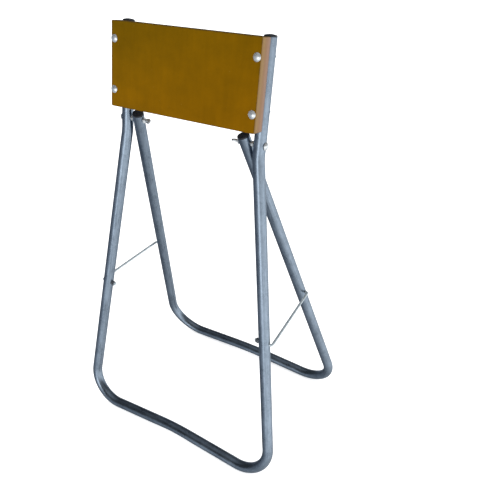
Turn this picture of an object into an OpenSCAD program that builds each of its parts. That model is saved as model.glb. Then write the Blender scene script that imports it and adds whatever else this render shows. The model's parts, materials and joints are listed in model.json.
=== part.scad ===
// Folding trestle stand with an upright clamping board.
// Two bent tubes cross at a pivot just below the board and stand as an A.
// Each side has a rod stay that hooks into the rear leg and keeps the A open.
// +X runs along the board, the board faces -Y and +Z is up. The floor is z = 0.
// Each frame is drawn flat, with its height counted from the centre line of
// the tube where it touches the floor, and is then leaned into place.

/* [Tube frames] */
// Outer diameter of the steel tube
tube_d = 25; // [19:0.5:32]
// Wall thickness of the tube
tube_wall = 1.5; // [1:0.1:2.5]
// Distance of the upright tubes' centre lines from the ends of the board
tube_inset = 8; // [4:0.5:60]
// Lean of the front frame, from upright
front_lean = 8.7; // [6:0.1:14]
// Lean of the rear frame, from upright
rear_lean = 18.7; // [14:0.1:26]
// Height of the pivot along the front frame
pivot_up = 774; // [600:1:950]
// Distance from the pivot down to the bend where the front legs start to splay
bend_below_pivot = 27; // [22:1:60]
// Splay of the front legs below their bend, from upright
front_splay = 8.4; // [5:0.1:11]
// Splay of the rear legs, from upright
rear_splay = 10.2; // [6:0.1:13]
// Rise of the front floor bar from its ends to its middle
front_bow = 3.7; // [0.5:0.1:6]
// Rise of the rear floor bar from its ends to its middle
rear_bow = 4; // [0.5:0.1:6]
// Centre line radius of the front frame's floor corners
front_corner_r = 74; // [50:1:110]
// Centre line radius of the rear frame's floor corners
rear_corner_r = 85; // [50:1:110]
// Centre line radius of the bends at the top of the front legs
splay_bend_r = 150; // [80:5:200]
// Centre line radius of the bend in the middle of each floor bar
bow_bend_r = 700; // [400:10:900]
// Free gap between the front and the rear tube at the pivot
leg_gap = 6.8; // [5.5:0.1:12]

/* [Board] */
// Length of the board
board_w = 350; // [300:1:460]
// Height of the board
board_h = 170; // [130:1:240]
// Thickness of the board
board_t = 30; // [18:1:40]
// Corner radius of the board
board_corner_r = 3; // [1:0.5:12]
// Distance from the pivot up to the lower edge of the board
board_above_pivot = 28; // [24:1:50]
// Drop of the tube ends below the top edge of the board
tube_end_drop = 1; // [0.5:0.5:12]
// Distance of the board bolts from the upper and lower edge
board_bolt_inset = 34; // [20:1:50]

/* [End plugs] */
// How far the plug's rim stands back from the outside of the tube
plug_inset = 0.2; // [0.1:0.1:0.8]
// Thickness of the plug's rim
plug_rim_t = 3; // [1.5:0.1:5]
// Height of the dome on the rim
plug_dome_h = 2; // [0.5:0.1:4]
// Length of the plug's skirt inside the tube
plug_skirt = 7; // [5:0.5:12]
// Wall thickness of the skirt
plug_wall = 1.8; // [1:0.1:3]

/* [Board bolts] */
// Shank diameter of the bolts that hold the board
board_bolt_d = 6; // [5:0.5:8]
// Diameter of their domed heads
board_head_d = 16; // [12:0.5:22]
// Height of their domed heads
board_head_h = 3.6; // [2.5:0.1:5]
// Length of the square neck under the head
board_neck_l = 3.5; // [2:0.5:6]

/* [Pivots] */
// Shank diameter of the thumb screws that the rear frame turns on
screw_d = 6; // [5:0.5:8]
// Outer diameter of the sleeve nuts' sleeves
sleeve_d = 9; // [8:0.5:11]
// Diameter of the sleeve nuts' domed heads
pivot_head_d = 16; // [14:0.5:22]
// Height of those heads
pivot_head_h = 4.6; // [3:0.1:6]
// Outer diameter of the spacer between the tubes
spacer_d = 12; // [11:0.5:14]

/* [Thumb screws] */
// Diameter of the collar that presses on the washer
thumb_collar_d = 9; // [8:0.5:14]
// Thickness of that collar
thumb_collar_t = 1.5; // [1:0.1:4]
// Radius of the round, flat grip
thumb_r = 6; // [4:0.1:10]
// Thickness of the grip
thumb_t = 4; // [2:0.1:5]
// Distance from the collar's face to the middle of the grip
thumb_out = 10; // [8:0.5:20]
// Turn of the left thumb screw
thumb_turn_left = 34; // [0:1:180]
// Turn of the right thumb screw
thumb_turn_right = 100; // [0:1:180]

/* [Stays] */
// Diameter of the stay rod
stay_d = 6; // [5:0.5:8]
// Distance of both stay holes from the pivot, along the legs
stay_drop = 420; // [300:1:480]
// Centre line radius of the bends at the rod's ends
stay_bend_r = 5; // [4.5:0.5:9]

/* [Fasteners] */
// Thickness of the flat washers
washer_t = 1.6; // [1:0.1:2.5]
// Length of thread that stands out past a nut
thread_past_nut = 3; // [1:0.5:6]

/* [Clearances] */
// Radial clearance of a shaft in the hole it turns in
turn_clear = 0.08; // [0.02:0.01:0.1]
// Radial clearance of a bolt in a hole that it only clamps
bolt_clear = 0.2; // [0.1:0.05:0.4]
// Radial clearance of a thread in its nut
thread_clear = 0.05; // [0.02:0.01:0.1]
// Gap between a moving tube and what lies beside it
side_gap = 0.35; // [0.3:0.05:1]
// Radial clearance of a plug's skirt in its tube
plug_clear = 0.1; // [0.05:0.05:0.3]
// Gap between a rear plug's skirt and the thumb screw below it
plug_screw_gap = 2; // [0.5:0.1:5]
// Radial clearance of the stay's hook in its hole
hook_clear = 0.5; // [0.3:0.1:1]
// Gap between a thumb screw's collar and the washer it presses on
collar_gap = 0.1; // [0.05:0.05:0.5]
// Gap between a sleeve's end and the spacer
sleeve_gap = 0.5; // [0.2:0.1:2]
// Gap between a thumb screw's end and the bottom of its sleeve nut
screw_end_gap = 1; // [0.5:0.5:5]

/* [Hidden] */
$fn = 64;
tube_r = tube_d / 2;
bore_r = tube_r - tube_wall;
front_x = board_w / 2 - tube_inset;
rear_tube_x = tube_r / cos(rear_splay);
rear_x = front_x - tube_r - leg_gap - rear_tube_x;
pivot_rise = pivot_up * cos(front_lean);
rear_pivot_up = pivot_rise / cos(rear_lean);
foot_span = pivot_rise * (tan(front_lean) + tan(rear_lean));

// The rear tubes end just high enough for their plugs to clear the thumb screws
screw_top = screw_d / 2 / cos(rear_splay) + bore_r * tan(rear_splay);
rear_stub = screw_top + plug_screw_gap + plug_skirt;

// Depth of the sharp corner of leg and floor bar below the rounded one
function corner_drop(r, splay, bow) =
    let (half = (90 - splay - bow) / 2)
    r / sin(half) * sin(135 + (splay - bow) / 2) - r;
front_drop = corner_drop(front_corner_r, front_splay, front_bow);
rear_drop = corner_drop(rear_corner_r, rear_splay, rear_bow);

bend_up = pivot_up - bend_below_pivot;
front_foot_x = front_x + (bend_up + front_drop) * tan(front_splay);
rear_foot_x = rear_x + (rear_pivot_up + rear_drop) * tan(rear_splay);

board_low = pivot_up + board_above_pivot;
board_high = board_low + board_h;
front_end = board_high - tube_end_drop;
bolt_rows = [board_low + board_bolt_inset, board_high - board_bolt_inset];
board_front = -tube_r - board_t;

// Common nut sizes, from the thread diameter
function nut_flat(d) = d * 5 / 3;
function nut_high(d) = d * 5 / 6;
function washer_d(d) = d * 2;

// Where the stack of parts lies on the right-hand thumb screw, from outside in
pivot_out = front_x + tube_r;
sleeve_l = tube_d - sleeve_gap;
screw_end_x = pivot_out - screw_end_gap;
spacer_tilt = spacer_d / 2 * tan(rear_splay);
spacer_in = rear_x + rear_tube_x + spacer_tilt + side_gap;
spacer_out = front_x - tube_r;
pivot_washer_tilt = washer_d(screw_d) / 2 * tan(rear_splay);
pivot_washer_x = rear_x - rear_tube_x - pivot_washer_tilt - side_gap;
collar_x = pivot_washer_x - washer_t - collar_gap;

// The stays: the hole in the front leg and the hook at the rear leg
stay_hole_up = pivot_up - stay_drop;
stay_hook_up = rear_pivot_up - stay_drop;
stay_rise = (rear_lean - front_lean) / 2;
stay_len = 2 * stay_drop * sin((front_lean + rear_lean) / 2);
stay_r = stay_d / 2;
function front_leg_x(up) = front_x + (bend_up - up) * tan(front_splay);
function rear_leg_x(up) = rear_x + (rear_pivot_up - up) * tan(rear_splay);
front_tube_x = tube_r / cos(front_splay);
stay_hole_x = front_leg_x(stay_hole_up);
stay_hook_x = rear_leg_x(stay_hook_up);
stay_elbow_x = stay_hole_x + front_tube_x + stay_bend_r + side_gap * 2;
stay_tip_x = stay_hook_x + rear_tube_x + stay_r * tan(rear_splay) + side_gap;
stay_hook_elbow_x = stay_tip_x + stay_bend_r + side_gap * 2;
stay_washer_tilt = washer_d(stay_d) / 2 * tan(front_splay);
stay_washer_x = stay_hole_x - front_tube_x - stay_washer_tilt - side_gap;
stay_nut_x = stay_washer_x - washer_t;
stay_end_x = stay_nut_x - nut_high(stay_d) - thread_past_nut;
hook_hole_r = stay_r + hook_clear;

// How far a cutting form reaches past what it cuts
past = 1;

steel = "lightsteelblue";
zinc = "silver";
plastic = "#1b1d22";
ply = "#7c5500";

// A round bar that follows a flat path, with a bend at each inner point.
// Where a straight run meets a bend, a hair-thin collar with sloped ends joins the two.
collar_l = 0.6;
collar_lip = 0.03;
run_gap = 0.1;
function heading(a, b) = atan2(b[1] - a[1], b[0] - a[0]);
function wrapped(t) = t > 180 ? t - 360 : t < -180 ? t + 360 : t;
function turn(p, i) = wrapped(heading(p[i], p[i + 1]) - heading(p[i - 1], p[i]));
function inner(p, i) = i > 0 && i < len(p) - 1;
function tangent(p, r, i) = inner(p, i) ? r[i] * tan(abs(turn(p, i)) / 2) : 0;
function run_start(p, r, i) = inner(p, i) ? tangent(p, r, i) + run_gap : 0;
function toward(a, b, t) = a + (b - a) / norm(b - a) * t;

module round_run(a, b, d) {
    translate([a[0], a[1], 0])
        rotate([0, 0, heading(a, b)])
            rotate([0, 90, 0])
                cylinder(d = d, h = norm(b - a));
}

module straight_run(p, r, i, d) {
    round_run(
        toward(p[i], p[i + 1], run_start(p, r, i)),
        toward(p[i + 1], p[i], run_start(p, r, i + 1)),
        d
    );
}

module collar(p, r, i, j, d) {
    start = toward(p[i], p[j], tangent(p, r, i) - collar_l / 2);
    low = d / 2 - collar_lip;
    high = d / 2 + collar_lip;
    slope = 2 * collar_lip;
    translate([start[0], start[1], 0])
        rotate([0, 0, heading(p[i], p[j])])
            rotate([0, 90, 0])
                rotate_extrude()
                    polygon([
                        [0, 0], [low, 0], [high, slope],
                        [high, collar_l - slope], [low, collar_l], [0, collar_l]
                    ]);
}

module bend(p, r, i, d) {
    side = sign(turn(p, i));
    before = heading(p[i - 1], p[i]);
    after = heading(p[i], p[i + 1]);
    start = toward(p[i], p[i - 1], tangent(p, r, i));
    centre = start + r[i] * side * [-sin(before), cos(before)];
    translate([centre[0], centre[1], 0])
        rotate([0, 0, side > 0 ? before - 90 : after + 90])
            rotate_extrude(angle = abs(turn(p, i)))
                translate([r[i], 0])
                    circle(d = d);
}

module bent_bar(p, r, d) {
    for (i = [0 : len(p) - 2])
        straight_run(p, r, i, d);
    for (i = [1 : len(p) - 2]) {
        bend(p, r, i, d);
        collar(p, r, i, i - 1, d);
        collar(p, r, i, i + 1, d);
    }
}

// A frame's path, from its left end over the middle of its floor bar
function whole_path(half, mid) = concat(
    [for (q = half) [-q[0], q[1]]],
    [mid],
    [for (i = [len(half) - 1 : -1 : 0]) half[i]]
);

front_half = [
    [front_x, front_end],
    [front_x, bend_up],
    [front_foot_x, -front_drop]
];
front_path = whole_path(front_half, [0, front_foot_x * tan(front_bow) - front_drop]);
front_radii = [0, splay_bend_r, front_corner_r, bow_bend_r, front_corner_r, splay_bend_r, 0];

rear_end = [
    rear_x - rear_stub * sin(rear_splay),
    rear_pivot_up + rear_stub * cos(rear_splay)
];
rear_half = [rear_end, [rear_foot_x, -rear_drop]];
rear_path = whole_path(rear_half, [0, rear_foot_x * tan(rear_bow) - rear_drop]);
rear_radii = [0, rear_corner_r, bow_bend_r, rear_corner_r, 0];

module bent_tube(p, r) {
    rotate([90, 0, 0])
        difference() {
            bent_bar(p, r, tube_d);
            bent_bar(p, r, tube_d - 2 * tube_wall);
        }
}

// Places for what is drawn on the front frame, the rear frame or a stay
module on_front() {
    translate([0, -foot_span / 2, tube_r])
        rotate([-front_lean, 0, 0])
            children();
}

module on_rear() {
    translate([0, foot_span / 2, tube_r])
        rotate([rear_lean, 0, 0])
            children();
}

module on_stay() {
    on_front()
        translate([0, 0, stay_hole_up])
            rotate([front_lean + stay_rise, 0, 0])
                children();
}

module left() {
    mirror([1, 0, 0])
        children();
}

module both_sides() {
    children();
    left() children();
}

// Parts that lie along X are drawn upright and then laid towards -X
module laid_inward(x, up = 0) {
    translate([x, 0, up])
        rotate([0, -90, 0])
            children();
}

module dome(d, h) {
    ball_r = (d * d / 4 + h * h) / (2 * h);
    intersection() {
        translate([0, 0, h - ball_r])
            sphere(r = ball_r, $fn = 96);
        cylinder(d = d, h = h);
    }
}

module washer(d, hole_d) {
    difference() {
        cylinder(d = d, h = washer_t);
        translate([0, 0, -past])
            cylinder(d = hole_d, h = washer_t + 2 * past);
    }
}

module hex_nut(d) {
    corner_d = nut_flat(d) / cos(30);
    chamfer = (corner_d - nut_flat(d)) / 2;
    difference() {
        intersection() {
            cylinder(d = corner_d, h = nut_high(d), $fn = 6);
            union() {
                cylinder(d = corner_d, h = nut_high(d) - chamfer / 2);
                translate([0, 0, nut_high(d) - chamfer / 2])
                    cylinder(d1 = corner_d, d2 = nut_flat(d), h = chamfer / 2);
            }
        }
        translate([0, 0, -past])
            cylinder(d = d + 2 * thread_clear, h = nut_high(d) + 2 * past);
    }
}

module domed_bolt(d, length, head_d, head_h) {
    rotate([180, 0, 0])
        dome(head_d, head_h);
    cylinder(d = d, h = length);
}

module end_plug() {
    cylinder(r = tube_r - plug_inset, h = plug_rim_t);
    translate([0, 0, plug_rim_t])
        dome(tube_d - 2 * plug_inset, plug_dome_h);
    translate([0, 0, -plug_skirt])
        difference() {
            cylinder(r = bore_r - plug_clear, h = plug_skirt);
            translate([0, 0, -past])
                cylinder(r = bore_r - plug_clear - plug_wall, h = plug_skirt + past);
        }
}

// Drilled across a tube, along X or along Y
module drill_x(x, up, r, half_l) {
    translate([x, 0, up])
        rotate([0, 90, 0])
            cylinder(r = r, h = 2 * half_l, center = true);
}

module drill_y(x, up, r, half_l) {
    translate([x, 0, up])
        rotate([90, 0, 0])
            cylinder(r = r, h = 2 * half_l, center = true);
}

module front_frame() {
    color(steel)
        on_front()
            difference() {
                bent_tube(front_path, front_radii);
                both_sides() {
                    drill_x(front_x, pivot_up, sleeve_d / 2 + turn_clear, tube_d);
                    drill_x(stay_hole_x, stay_hole_up, stay_r + turn_clear, tube_d);
                    for (up = bolt_rows)
                        drill_y(front_x, up, board_bolt_d / 2 + bolt_clear, tube_d);
                }
            }
}

module rear_frame() {
    color(steel)
        on_rear()
            difference() {
                bent_tube(rear_path, rear_radii);
                both_sides() {
                    drill_x(rear_x, rear_pivot_up, screw_d / 2 + turn_clear, tube_d);
                    drill_x(stay_hook_x + tube_r, stay_hook_up, hook_hole_r, tube_r);
                }
            }
}

module rounded_plate(w, h, r) {
    square([w - 2 * r, h], center = true);
    square([w, h - 2 * r], center = true);
    for (sx = [-1, 1], sy = [-1, 1])
        translate([sx * (w / 2 - r), sy * (h / 2 - r)])
            circle(r = r);
}

module board() {
    neck = board_bolt_d + 2 * bolt_clear;
    color(ply)
        on_front()
            difference() {
                translate([0, -tube_r, (board_low + board_high) / 2])
                    rotate([90, 0, 0])
                        linear_extrude(board_t)
                            rounded_plate(board_w, board_h, board_corner_r);
                for (side = [-1, 1], up = bolt_rows) {
                    drill_y(side * front_x, up, board_bolt_d / 2 + bolt_clear, tube_r + board_t + past);
                    translate([side * front_x, board_front + board_neck_l / 2, up])
                        cube([neck, board_neck_l + 2 * bolt_clear, neck], center = true);
                }
            }
}

module at_board_bolts(y) {
    on_front()
        for (side = [-1, 1], up = bolt_rows)
            translate([side * front_x, y, up])
                rotate([-90, 0, 0])
                    children();
}

board_bolt_l = board_t + tube_d + washer_t + nut_high(board_bolt_d) + thread_past_nut;

module board_bolts() {
    color(zinc)
        at_board_bolts(board_front) {
            domed_bolt(board_bolt_d, board_bolt_l, board_head_d, board_head_h);
            translate([-board_bolt_d / 2, -board_bolt_d / 2, 0])
                cube([board_bolt_d, board_bolt_d, board_neck_l]);
        }
}

module board_washers() {
    color(zinc)
        at_board_bolts(tube_r)
            washer(washer_d(board_bolt_d), board_bolt_d + 2 * bolt_clear);
}

module board_nuts() {
    color(zinc)
        at_board_bolts(tube_r + washer_t)
            hex_nut(board_bolt_d);
}

module front_plug() {
    color(plastic)
        on_front()
            translate([front_x, 0, front_end])
                end_plug();
}

module rear_plug() {
    color(plastic)
        on_rear()
            translate([rear_end[0], 0, rear_end[1]])
                rotate([0, -rear_splay, 0])
                    end_plug();
}

module sleeve_nut() {
    color(zinc)
        on_front()
            laid_inward(pivot_out, pivot_up)
                difference() {
                    domed_bolt(sleeve_d, sleeve_l, pivot_head_d, pivot_head_h);
                    cylinder(d = screw_d + 2 * thread_clear, h = sleeve_l + past);
                }
}

module pivot_spacer() {
    long = spacer_out - spacer_in;
    color(zinc)
        on_front()
            laid_inward(spacer_out, pivot_up)
                difference() {
                    cylinder(d = spacer_d, h = long);
                    translate([0, 0, -past])
                        cylinder(d = screw_d + 2 * turn_clear, h = long + 2 * past);
                }
}

module pivot_washer() {
    color(zinc)
        on_front()
            laid_inward(pivot_washer_x, pivot_up)
                washer(washer_d(screw_d), screw_d + 2 * turn_clear);
}

// A round flat grip on a collar, with its shank reaching outwards into the sleeve nut
module thumb_screw(turn) {
    color(zinc)
        on_front()
            laid_inward(collar_x, pivot_up)
                rotate([0, 0, turn - front_lean]) {
                    translate([0, 0, collar_x - screw_end_x])
                        cylinder(d = screw_d, h = screw_end_x - collar_x + thumb_out);
                    cylinder(d = thumb_collar_d, h = thumb_collar_t);
                    translate([0, 0, thumb_out])
                        rotate([90, 0, 0])
                            cylinder(r = thumb_r, h = thumb_t, center = true);
                }
}

stay_path = [
    [stay_end_x, 0],
    [stay_elbow_x, 0],
    [stay_hook_elbow_x, stay_len],
    [stay_tip_x, stay_len]
];
stay_radii = [0, stay_bend_r, stay_bend_r, 0];

module stay() {
    color(zinc)
        on_stay()
            bent_bar(stay_path, stay_radii, stay_d);
}

module stay_washer() {
    color(zinc)
        on_stay()
            laid_inward(stay_washer_x)
                washer(washer_d(stay_d), stay_d + 2 * bolt_clear);
}

module stay_nut() {
    color(zinc)
        on_stay()
            laid_inward(stay_nut_x)
                hex_nut(stay_d);
}

front_frame();
rear_frame();
board();
left() front_plug();  // front_plug_left
front_plug();  // front_plug_right
left() rear_plug();  // rear_plug_left
rear_plug();  // rear_plug_right
board_bolts();
board_washers();
board_nuts();
left() sleeve_nut();  // sleeve_nut_left
sleeve_nut();  // sleeve_nut_right
left() pivot_spacer();  // pivot_spacer_left
pivot_spacer();  // pivot_spacer_right
left() pivot_washer();  // pivot_washer_left
pivot_washer();  // pivot_washer_right
left() thumb_screw(thumb_turn_left);  // thumb_screw_left
thumb_screw(thumb_turn_right);  // thumb_screw_right
left() stay();  // stay_left
stay();  // stay_right
left() stay_washer();  // stay_washer_left
stay_washer();  // stay_washer_right
left() stay_nut();  // stay_nut_left
stay_nut();  // stay_nut_right
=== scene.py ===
import json
import math

import bmesh
import bpy
from mathutils import Matrix, Vector


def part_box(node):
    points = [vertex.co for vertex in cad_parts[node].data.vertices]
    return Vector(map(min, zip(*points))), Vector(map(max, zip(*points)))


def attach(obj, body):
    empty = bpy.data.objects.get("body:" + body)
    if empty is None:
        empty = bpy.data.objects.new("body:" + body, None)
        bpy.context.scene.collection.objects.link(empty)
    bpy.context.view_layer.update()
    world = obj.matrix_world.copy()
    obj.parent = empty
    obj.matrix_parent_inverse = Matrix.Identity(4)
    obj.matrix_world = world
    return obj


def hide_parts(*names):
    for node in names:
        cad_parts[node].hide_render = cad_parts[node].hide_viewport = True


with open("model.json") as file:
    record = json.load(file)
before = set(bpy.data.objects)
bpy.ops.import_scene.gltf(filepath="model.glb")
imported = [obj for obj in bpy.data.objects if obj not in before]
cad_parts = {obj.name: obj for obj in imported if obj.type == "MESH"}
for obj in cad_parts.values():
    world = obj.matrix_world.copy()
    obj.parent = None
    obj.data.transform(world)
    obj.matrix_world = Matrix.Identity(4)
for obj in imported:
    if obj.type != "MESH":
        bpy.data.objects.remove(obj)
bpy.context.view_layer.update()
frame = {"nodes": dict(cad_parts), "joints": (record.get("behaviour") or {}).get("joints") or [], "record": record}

# Lengths are metres and angles degrees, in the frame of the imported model.

# ---------------------------------------------------------------- sizes
# The two bent tubes
tube_r = 0.0125
tube_wall = 0.0015
bore_r = tube_r - tube_wall
front_splay, rear_splay = 8.4, 10.2
front_bow, rear_bow = 3.7, 4.0
front_corner_r, rear_corner_r = 0.074, 0.085
splay_bend_r, bow_bend_r = 0.150, 0.700
bend_below_pivot = 0.027
leg_gap, plug_screw_gap = 0.0068, 0.002
# The end plugs
rim_t, rim_inset, dome_h = 0.003, 0.0002, 0.002
skirt_l, skirt_wall, skirt_room = 0.007, 0.0018, 0.0001
# The board, and how far its arrises and corners are rounded
board_t, ply_count = 0.030, 11
board_arris, board_corner_r = 0.0009, 0.003
# The board's bolts
board_bolt_r, board_head_r, board_head_h = 0.003, 0.008, 0.0036
board_thread_l, board_neck_l, board_neck_r = 0.016, 0.0035, 0.00345
# The pivots' sleeve nuts and thumb screws
screw_r, sleeve_r, pivot_head_r, pivot_head_h = 0.003, 0.0045, 0.008, 0.0046
thumb_collar_r, thumb_collar_t = 0.0045, 0.0015
thumb_r, thumb_t, thumb_out, thumb_thread_l = 0.006, 0.004, 0.010, 0.020
# The stays
stay_r, stay_bend_r, stay_thread_l = 0.003, 0.005, 0.012
side_gap = 0.00035
# What the fasteners share
washer_r, nut_flat = 0.006, 0.010
head_edge = 0.0007
thread_pitch, thread_depth, stay_thread_depth, thread_run = 0.0010, 0.00055, 0.0005, 0.0006
# Room round a piece in its hole, by how it fits
close_room, easy_room, loose_room = 0.0001, 0.0002, 0.0003
board_room, hook_room = 0.0004, 0.0005
# How long a drill is. The hook's drill stays outside the leg's middle, so it goes through one wall
tube_drill_l, board_drill_l = 0.040, 0.050
hook_drill_l, hook_drill_out = 0.018, 0.013
# A turned form starts and ends this near its axis
axis_r = 0.00002

# ---------------------------------------------------------------- places, all from the frame
joints = {j["name"]: j for j in frame["joints"]}
record = frame["record"]
pivot = Vector(joints["frame_fold"]["pos_m"])
stay_pin = Vector(joints["stay_right_swing"]["pos_m"])
body_of = {n: b for b, ns in record["behaviour"]["bodies"].items() for n in ns}
SIDES = {"left": -1, "right": 1}


def box_centre(node):
    low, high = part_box(node)
    return (low + high) / 2


front_foot = Vector((0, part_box("front_frame")[0].y + tube_r, tube_r))
rear_foot = Vector((0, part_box("rear_frame")[1].y - tube_r, tube_r))
front_lean = math.atan2(pivot.y - front_foot.y, pivot.z - tube_r)
rear_lean = math.atan2(rear_foot.y - pivot.y, pivot.z - tube_r)
# A frame's own axes: X across, Y out of its plane, Z up along its legs
front_plane = Matrix.Translation(front_foot) @ Matrix.Rotation(-front_lean, 4, "X")
rear_plane = Matrix.Translation(rear_foot) @ Matrix.Rotation(rear_lean, 4, "X")
pivot_up = (pivot.z - tube_r) / math.cos(front_lean)
rear_pivot_up = (pivot.z - tube_r) / math.cos(rear_lean)


def in_plane(plane, point):
    return plane.inverted() @ Vector(point)


# ---------------------------------------------------------------- mesh tools
class Solid:
    """Vertices, faces and UVs of a closed form, gathered before they become one mesh."""

    def __init__(self):
        self.verts, self.faces, self.uvs = [], [], []

    def add(self, verts, faces, uvs, matrix=None):
        base = len(self.verts)
        matrix = matrix or Matrix.Identity(4)
        self.verts += [matrix @ Vector(v) for v in verts]
        flip = matrix.determinant() < 0
        for face, uv in zip(faces, uvs):
            order = list(range(len(face)))
            if flip:
                order.reverse()
            self.faces.append([base + face[i] for i in order])
            self.uvs.append([uv[i] for i in order])

    def build(self, name, sharp=32):
        mesh = bpy.data.meshes.new(name)
        mesh.from_pydata([tuple(v) for v in self.verts], [], self.faces)
        layer = mesh.uv_layers.new(name="along")
        flat = [c for face in self.uvs for pair in face for c in pair]
        layer.data.foreach_set("uv", flat)
        obj = bpy.data.objects.new(name, mesh)
        bpy.context.scene.collection.objects.link(obj)
        smooth(mesh, sharp)
        return obj


def smooth(mesh, sharp):
    mesh.validate()
    mesh.shade_smooth()
    mesh.set_sharp_from_angle(angle=math.radians(sharp))


def grid_faces(rows, cols, us, vs, wrap_rows=False):
    """Quads of a grid that closes round its columns. UV is (distance along, distance around)."""
    faces, uvs = [], []
    last = rows if wrap_rows else rows - 1
    for i in range(last):
        j = (i + 1) % rows
        u0, u1 = us[i], us[i + 1] if i + 1 < len(us) else us[i]
        for k in range(cols):
            m = (k + 1) % cols
            faces.append([i * cols + k, i * cols + m, j * cols + m, j * cols + k])
            uvs.append([(u0, vs[k]), (u0, vs[k + 1]), (u1, vs[k + 1]), (u1, vs[k])])
    return faces, uvs


def spin(profile, sides=64, pitch=0.0, tooth=0.0):
    """A turned form about Z, open at both ends. Its profile is a list of (radius, height, threaded).

    Threaded rows sink by a helical tooth.
    """
    verts, us, length = [], [], 0.0
    previous = None
    for r, z, *cut in profile:
        if previous:
            length += math.dist(previous, (r, z))
        previous = (r, z)
        us.append(length)
        for k in range(sides):
            turn = k / sides
            out = r
            if cut and cut[0]:
                phase = (z / pitch - turn) % 1.0
                out = r - tooth * abs(2 * phase - 1)
            angle = 2 * math.pi * turn
            verts.append((out * math.cos(angle), out * math.sin(angle), z))
    around = [k / sides * 0.05 for k in range(sides + 1)]
    faces, uvs = grid_faces(len(profile), sides, us, around)
    return verts, faces, uvs


def cap_ends(shape, sides):
    """Closes both ends of a spun form with a fan to a middle point."""
    verts, faces, uvs = shape
    first, last = verts[:sides], verts[-sides:]
    for ring, start, forward in ((first, 0, False), (last, len(verts) - sides, True)):
        middle = sum((Vector(v) for v in ring), Vector()) / sides
        verts.append(tuple(middle))
        top = len(verts) - 1
        for k in range(sides):
            a, b = start + k, start + (k + 1) % sides
            faces.append([a, b, top] if forward else [b, a, top])
            uvs.append([(0, 0), (0.001, 0), (0, 0.001)])
    return verts, faces, uvs


def turned(profile, sides=64, pitch=0.0, tooth=0.0):
    return cap_ends(spin(profile, sides, pitch, tooth), sides)


def ring_form(profile, sides=64):
    """A turned form with a hole: the profile is a closed outline of (radius, height)."""
    verts, faces, uvs = spin(list(profile) + [profile[0]], sides)
    rows = len(profile)
    verts = verts[: rows * sides]
    faces = [[v % (rows * sides) for v in face] for face in faces]
    return verts, faces, uvs


def dome_profile(r, h, edge, steps=14):
    """From the rim at height 0 to the middle of a domed head: a short upright edge, then a cap."""
    rise = h - edge
    ball = (r * r + rise * rise) / (2 * rise)
    top = math.asin(r / ball)
    points = [(r * 0.985, 0.0), (r, edge * 0.4), (r * 0.998, edge)]
    for i in range(1, steps):
        a = top * (1 - i / steps)
        points.append((ball * math.sin(a), h - ball + ball * math.cos(a)))
    return points


def rounded_path(points, radii, step):
    """Points along a path with a true arc at each inner corner, no further than step apart."""
    points = [Vector(p) for p in points]
    out = [points[0]]

    def run_to(p):
        start = out[-1]
        count = max(1, math.ceil((p - start).length / step))
        for i in range(1, count + 1):
            out.append(start.lerp(p, i / count))

    for i in range(1, len(points) - 1):
        p, r = points[i], radii[i]
        a = (points[i - 1] - p).normalized()
        b = (points[i + 1] - p).normalized()
        turn = math.pi - a.angle(b)
        start = p + a * r * math.tan(turn / 2)
        centre = p + (a + b).normalized() * r / math.cos(turn / 2)
        run_to(start)
        count = max(6, math.ceil(math.degrees(turn) / 3))
        for k in range(1, count + 1):
            phi = turn * k / count
            out.append(centre + (start - centre) * math.cos(phi) - a * r * math.sin(phi))
    run_to(points[-1])
    return out


def sweep(path, radius, sides, flatten=None, pitch=0.0, tooth=0.0, thread_l=0.0):
    """A round bar along a path in the XZ plane, open at both ends.

    flatten(point) says what share of the radius is lost on the inside of a bend. Its first thread_l is
    threaded.
    """
    count = len(path)
    verts, us, length = [], [], 0.0
    across = Vector((0, 1, 0))
    for i, p in enumerate(path):
        before, after = path[max(i - 1, 0)], path[min(i + 1, count - 1)]
        along = (after - before).normalized()
        side = along.cross(across).normalized()
        if i:
            length += (p - path[i - 1]).length
        us.append(length)
        bend = (after - p).normalized() - (p - before).normalized() if 0 < i < count - 1 else Vector()
        inward = bend.normalized() if bend.length > 1e-5 else Vector()
        for k in range(sides):
            angle = 2 * math.pi * k / sides
            out = side * math.cos(angle) + across * math.sin(angle)
            r = radius
            if flatten:
                r *= 1 - flatten(p) * max(0.0, out.dot(inward)) ** 2
            if length < thread_l:
                phase = (length / pitch - k / sides) % 1.0
                r -= tooth * abs(2 * phase - 1)
            verts.append(p + out * r)
    around = [2 * math.pi * radius * k / sides for k in range(sides + 1)]
    faces, uvs = grid_faces(count, sides, us, around)
    return verts, faces, uvs


def tube_form(path, sides, flatten):
    """A hollow tube: an outer and an inner sweep, joined at both ends."""
    outer = sweep(path, tube_r, sides, flatten)
    inner = sweep(path, bore_r, sides, flatten)
    rows = len(path)
    verts = list(outer[0]) + list(inner[0])
    base = rows * sides
    faces = [list(reversed(f)) for f in outer[1]] + [[base + v for v in f] for f in inner[1]]
    uvs = [list(reversed(u)) for u in outer[2]] + list(inner[2])
    for row, forward in ((0, True), (rows - 1, False)):
        for k in range(sides):
            m = (k + 1) % sides
            a, b = row * sides + k, row * sides + m
            quad = [a, b, base + b, base + a]
            faces.append(quad if forward else list(reversed(quad)))
            uvs.append([(0, 0), (0.001, 0), (0.001, 0.001), (0, 0.001)])
    return verts, faces, uvs


def cutter(plane, centre, direction, r, length):
    """A temporary cylinder about a point of a frame's plane, for drilling."""
    verts, faces, uvs = turned([(r, -length / 2), (r, length / 2)], 40)
    solid = Solid()
    turn = Vector(direction).to_track_quat("Z", "Y").to_matrix().to_4x4()
    solid.add(verts, faces, uvs, plane @ Matrix.Translation(Vector(centre)) @ turn)
    return solid.build("cutter")


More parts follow.
